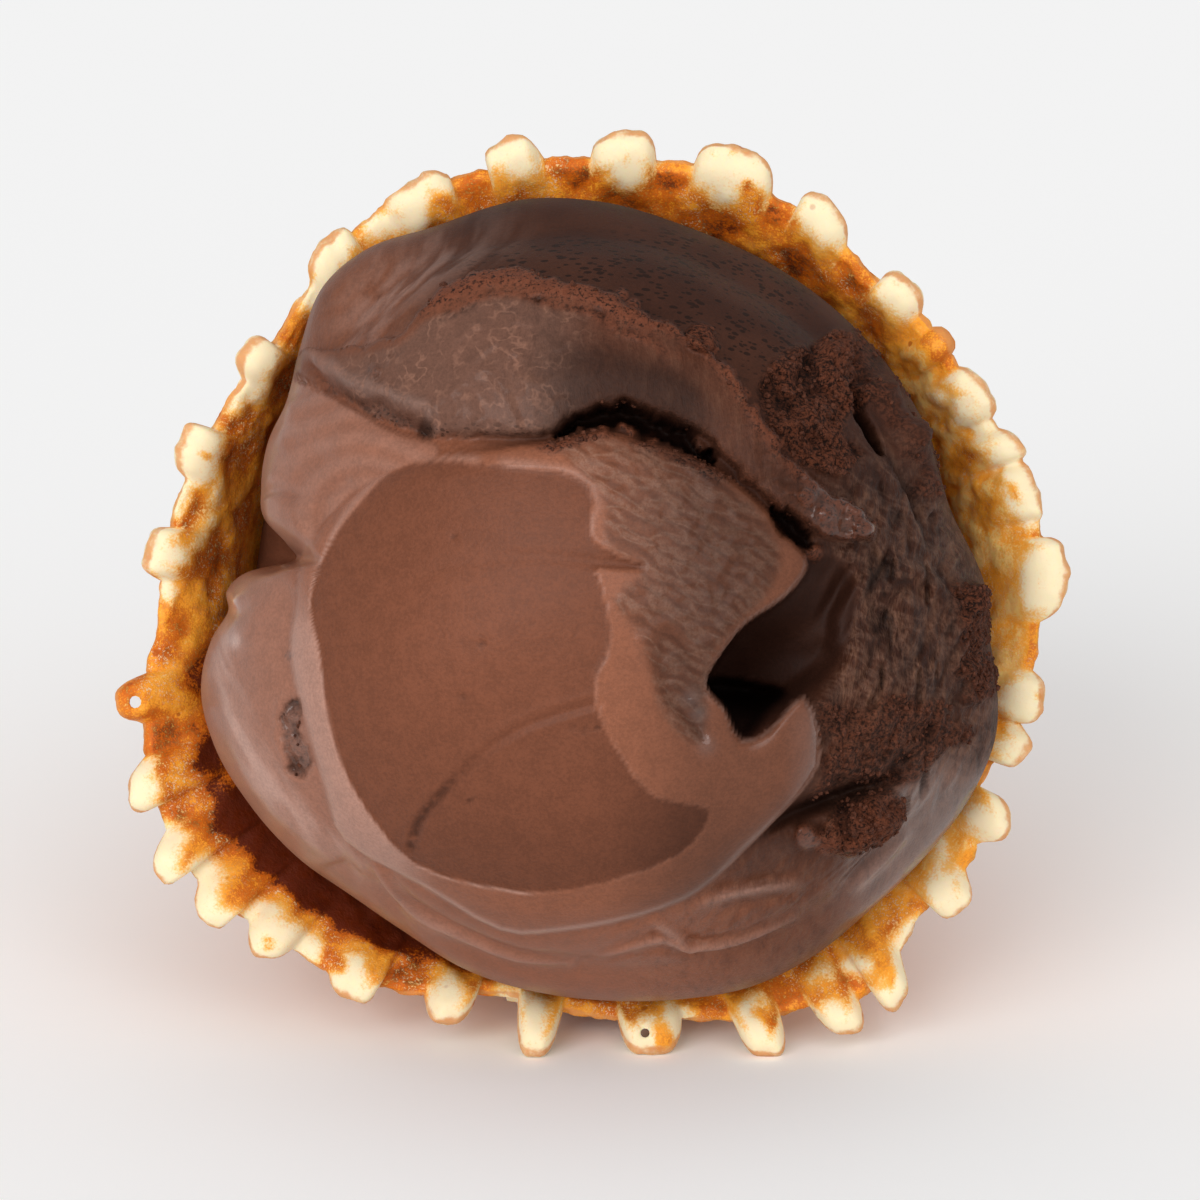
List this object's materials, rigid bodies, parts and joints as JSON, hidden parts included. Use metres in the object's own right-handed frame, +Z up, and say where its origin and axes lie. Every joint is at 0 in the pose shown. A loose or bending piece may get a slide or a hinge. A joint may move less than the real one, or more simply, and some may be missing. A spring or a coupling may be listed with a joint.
{
  "type": "ice cream cone",
  "caption": "Rolled waffle cone lying on its side, filled with one large scoop of folded chocolate ice cream.",
  "frame": {"origin": "bottom centre of the bounding box, on the floor under the lying cone", "axes": "+Z up, +Y along the cone from the scoop to the tip, the mouth facing -Y and 15.1 degrees upward"},
  "size_m": [0.0861, 0.17, 0.0804],
  "materials": {
    "waffle": "matte",
    "ice_cream": "satin"
  },
  "bodies": {
    "root": {"waffle_cone": "waffle", "ice_cream": "ice_cream"}
  },
  "joints": []
}
